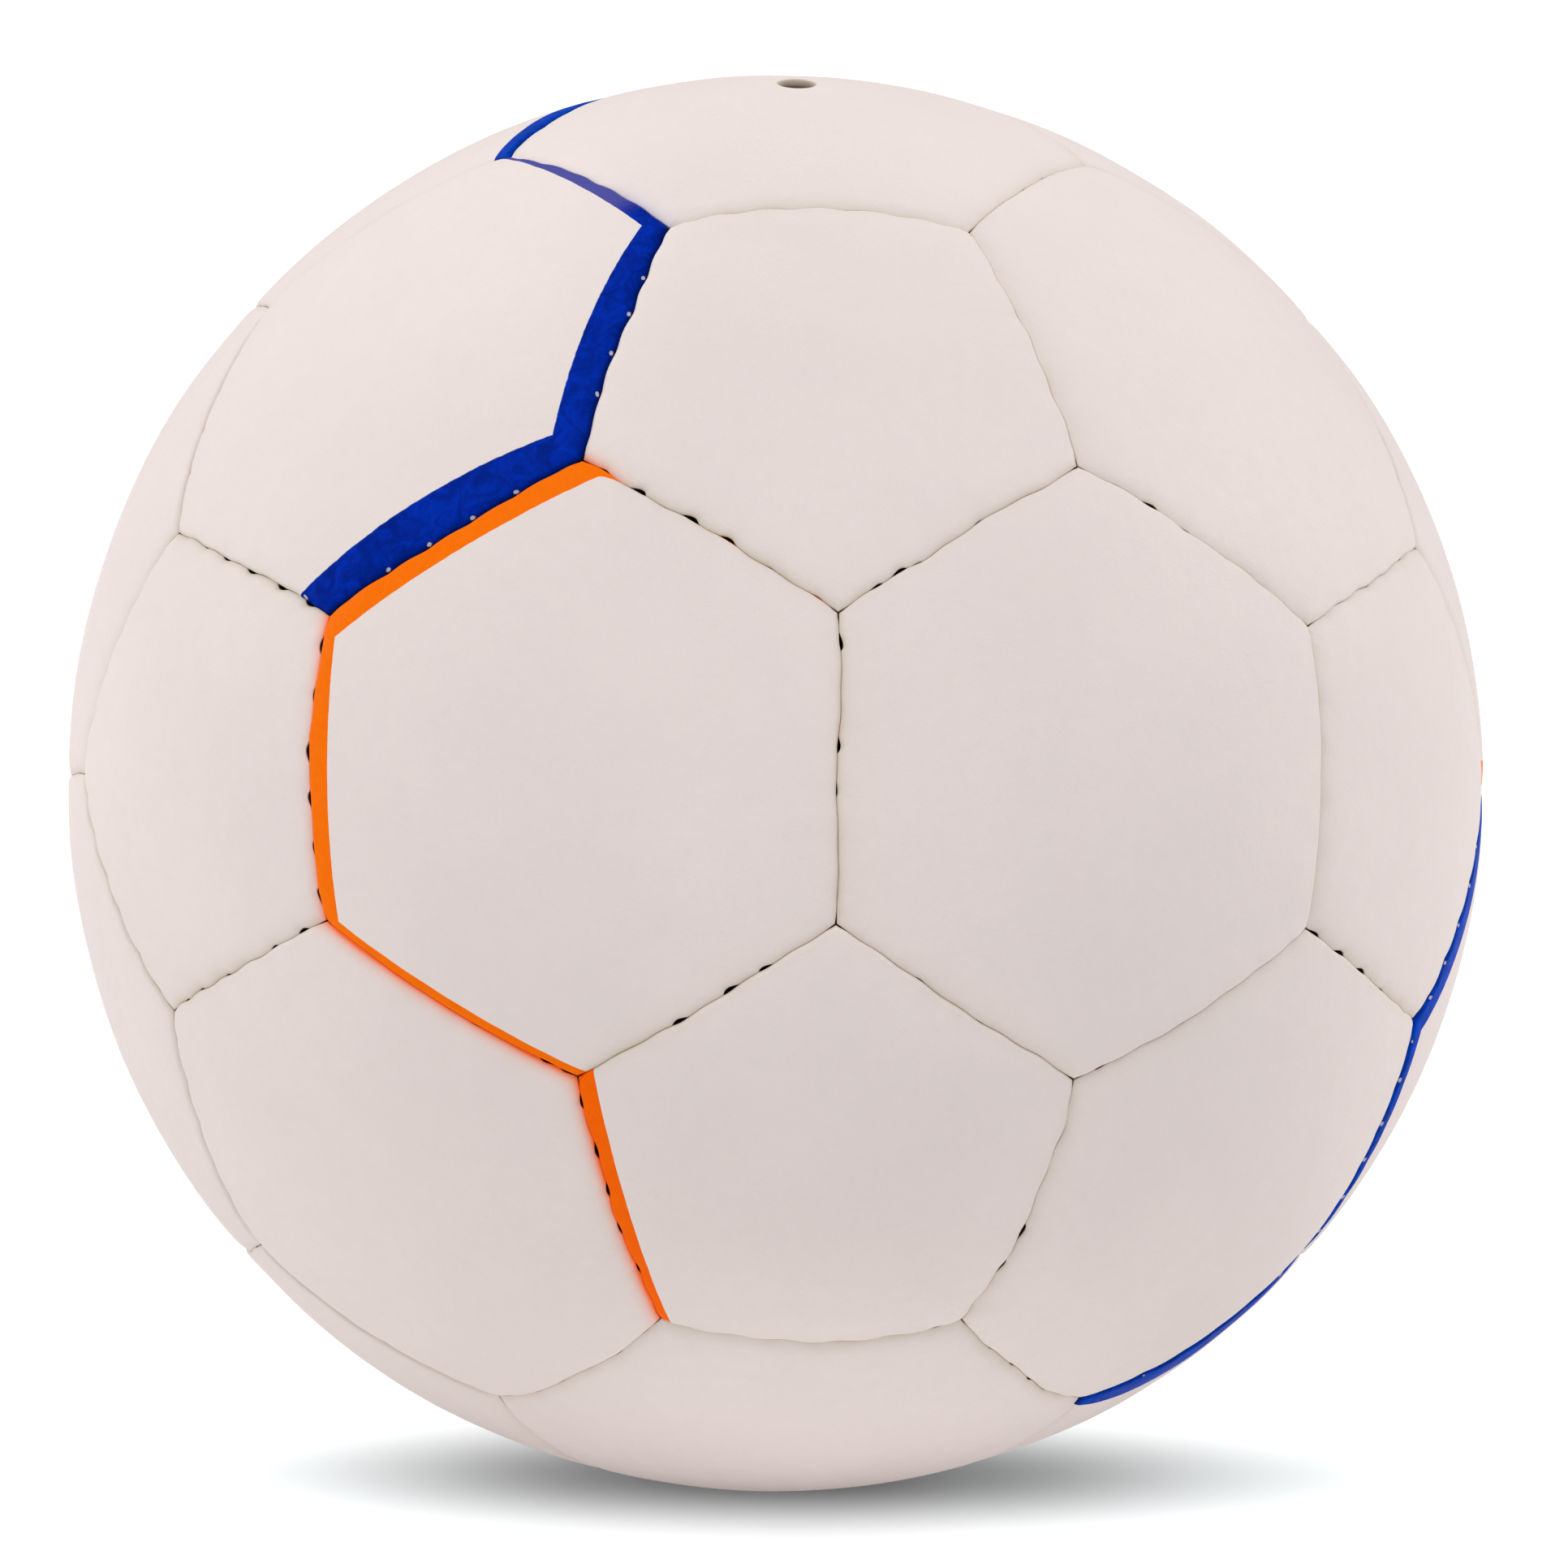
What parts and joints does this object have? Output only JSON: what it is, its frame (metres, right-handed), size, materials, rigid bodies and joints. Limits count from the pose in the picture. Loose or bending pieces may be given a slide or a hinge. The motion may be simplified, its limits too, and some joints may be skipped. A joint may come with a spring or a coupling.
{
  "type": "handball",
  "caption": "Stitched match ball of pentagon and hexagon panels over foam, lining and an air bladder, with a needle valve.",
  "frame": {"origin": "centre of the ball", "axes": "+Z from the centre out through the valve; -Y towards the front, the side that the picture shows with the valve near the top"},
  "size_m": [0.1878, 0.1878, 0.1878],
  "materials": {
    "pentagon_cover": "cream synthetic leather, fine grain, some borders printed blue or orange",
    "hexagon_cover": "cream synthetic leather, fine grain, some borders printed blue or orange",
    "foam": "soft closed-cell foam",
    "lining": "woven cotton and polyester backing",
    "thread": "waxed polyester thread",
    "bladder": "smooth rubber",
    "valve_stem": "moulded rubber",
    "valve_core": "soft taupe rubber"
  },
  "bodies": {
    "root": {"pentagon_panel_1": "pentagon_cover", "pentagon_panel_2": "pentagon_cover", "pentagon_panel_3": "pentagon_cover", "pentagon_panel_4": "pentagon_cover", "pentagon_panel_5": "pentagon_cover", "pentagon_panel_6": "pentagon_cover", "pentagon_panel_7": "pentagon_cover", "pentagon_panel_8": "pentagon_cover", "pentagon_panel_9": "pentagon_cover", "pentagon_panel_10": "pentagon_cover", "pentagon_panel_11": "pentagon_cover", "pentagon_panel_12": "pentagon_cover", "hexagon_panel_1": "hexagon_cover", "hexagon_panel_2": "hexagon_cover", "hexagon_panel_3": "hexagon_cover", "hexagon_panel_4": "hexagon_cover", "hexagon_panel_5": "hexagon_cover", "hexagon_panel_6": "hexagon_cover", "hexagon_panel_7": "hexagon_cover", "hexagon_panel_8": "hexagon_cover", "hexagon_panel_9": "hexagon_cover", "hexagon_panel_10": "hexagon_cover", "hexagon_panel_11": "hexagon_cover", "hexagon_panel_12": "hexagon_cover", "hexagon_panel_13": "hexagon_cover", "hexagon_panel_14": "hexagon_cover", "hexagon_panel_15": "hexagon_cover", "hexagon_panel_16": "hexagon_cover", "hexagon_panel_17": "hexagon_cover", "hexagon_panel_18": "hexagon_cover", "hexagon_panel_19": "hexagon_cover", "valve_panel": "hexagon_cover", "pentagon_foams": "foam", "hexagon_foams": "foam", "pentagon_linings": "lining", "hexagon_linings": "lining", "pentagon_seam_threads": "thread", "hexagon_seam_threads": "thread", "bladder": "bladder", "valve_stem": "valve_stem", "valve_core": "valve_core"}
  },
  "joints": []
}
